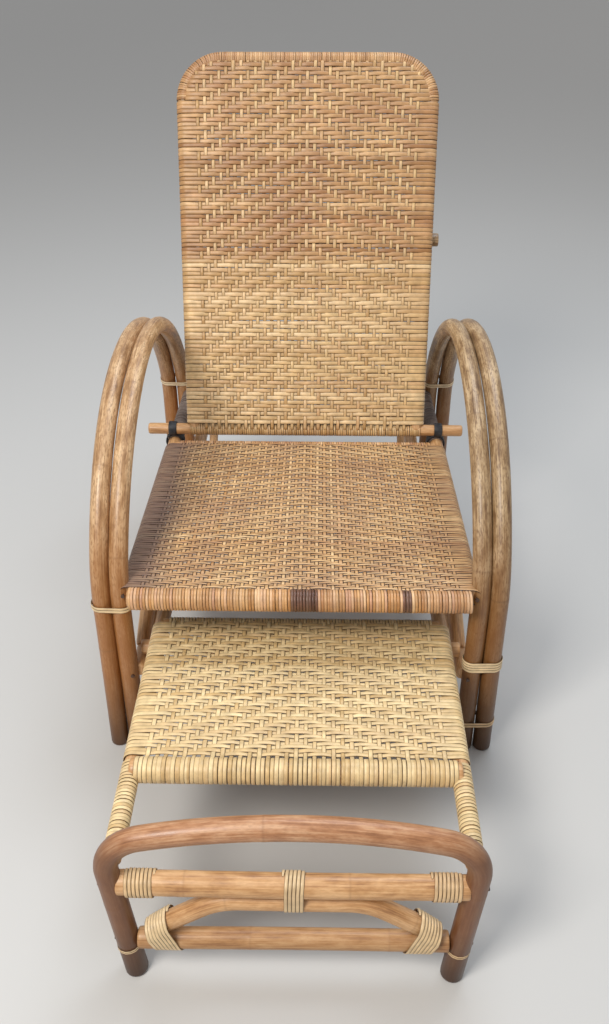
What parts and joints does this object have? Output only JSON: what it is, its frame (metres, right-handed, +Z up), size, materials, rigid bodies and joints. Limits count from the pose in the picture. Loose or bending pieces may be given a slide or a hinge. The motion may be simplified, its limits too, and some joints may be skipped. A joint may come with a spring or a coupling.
{
  "type": "steamer chair",
  "caption": "Cane steamer chair with bent arm hoops, a woven seat, a reclining woven back on a prop and a woven footrest that slides out on its own end frame.",
  "frame": {"origin": "on the floor, in the middle of the chair's whole width and length with the footrest pulled out", "axes": "+X to the right seen from the front, +Y from the footrest to the back, +Z up"},
  "size_m": [0.6852, 1.5093, 1.0229],
  "materials": {
    "honey_pole": "varnished cane pole, worn",
    "dark_pole": "darkened cane pole, worn",
    "seat_cane": "woven cane, matte",
    "back_cane": "woven cane, matte",
    "footrest_cane": "woven cane, matte",
    "grey_cane": "weathered wound cane",
    "binding_cane": "split cane, satin",
    "strap": "black strap, satin",
    "nail": "dull steel"
  },
  "bodies": {
    "frame": {"arm_hoop_left_inner": "dark_pole", "arm_hoop_left_outer": "honey_pole", "arm_hoop_right_inner": "dark_pole", "arm_hoop_right_outer": "honey_pole", "seat_rail_left": "honey_pole", "seat_rail_right": "honey_pole", "seat_front_rail": "honey_pole", "seat_rear_rail": "honey_pole", "seat_panel": "seat_cane", "rail_whipping_left": "grey_cane", "rail_whipping_right": "grey_cane", "side_stretcher_left": "honey_pole", "side_stretcher_right": "honey_pole", "side_arch_left": "honey_pole", "side_arch_right": "honey_pole", "front_cross_pole": "honey_pole", "rear_cross_pole": "honey_pole", "rear_low_pole": "honey_pole", "rack_cross_pole": "honey_pole", "rack": "honey_pole", "rack_whipping_left": "grey_cane", "rack_whipping_right": "grey_cane", "rack_strut_left": "honey_pole", "rack_strut_right": "honey_pole", "hinge_strap_left": "strap", "hinge_strap_right": "strap", "hoop_binding_left": "binding_cane", "hoop_binding_right_upper": "binding_cane", "hoop_binding_right_lower": "binding_cane", "rear_binding_left": "binding_cane", "rear_binding_right": "binding_cane", "rail_nails": "nail"},
    "back": {"back_frame": "honey_pole", "hinge_bar": "honey_pole", "back_panel": "back_cane", "back_cross_pole": "honey_pole", "cross_pole_nails": "nail"},
    "prop": {"prop_leg_left": "honey_pole", "prop_leg_right": "honey_pole", "prop_loop_left": "binding_cane", "prop_loop_right": "binding_cane", "prop_foot_bar": "honey_pole"},
    "footrest": {"footrest_rail_left": "honey_pole", "footrest_rail_right": "honey_pole", "footrest_front_bar": "honey_pole", "footrest_rear_bar": "honey_pole", "footrest_panel": "footrest_cane", "footrest_whipping_left": "footrest_cane", "footrest_whipping_right": "footrest_cane", "footrest_end_frame": "dark_pole", "footrest_upper_bar": "honey_pole", "footrest_lower_bar": "dark_pole", "footrest_small_arch": "dark_pole", "footrest_binding_centre": "binding_cane", "footrest_binding_upper_left": "binding_cane", "footrest_binding_upper_right": "binding_cane", "footrest_binding_lower_left": "binding_cane", "footrest_binding_lower_right": "binding_cane", "end_frame_nails": "nail"}
  },
  "joints": [
    {"name": "back_recline", "type": "hinge", "parent": "frame", "child": "back", "pos_m": [0, 0.21918, 0.36107], "axis": [-1, 0, 0], "range_deg": [-8, 8]},
    {"name": "prop_swing", "type": "hinge", "parent": "back", "child": "prop", "pos_m": [0, 0.40665, 0.69293], "axis": [1, 0, 0], "range_deg": [-17.7, 17.7]},
    {"name": "footrest_slide", "type": "slide", "parent": "frame", "child": "footrest", "axis": [0, 1, 0], "range_m": [0, 0.36]}
  ],
  "couplings": [
    {"joint": "prop_swing", "follows": "back_recline", "ratio": 2.2}
  ]
}
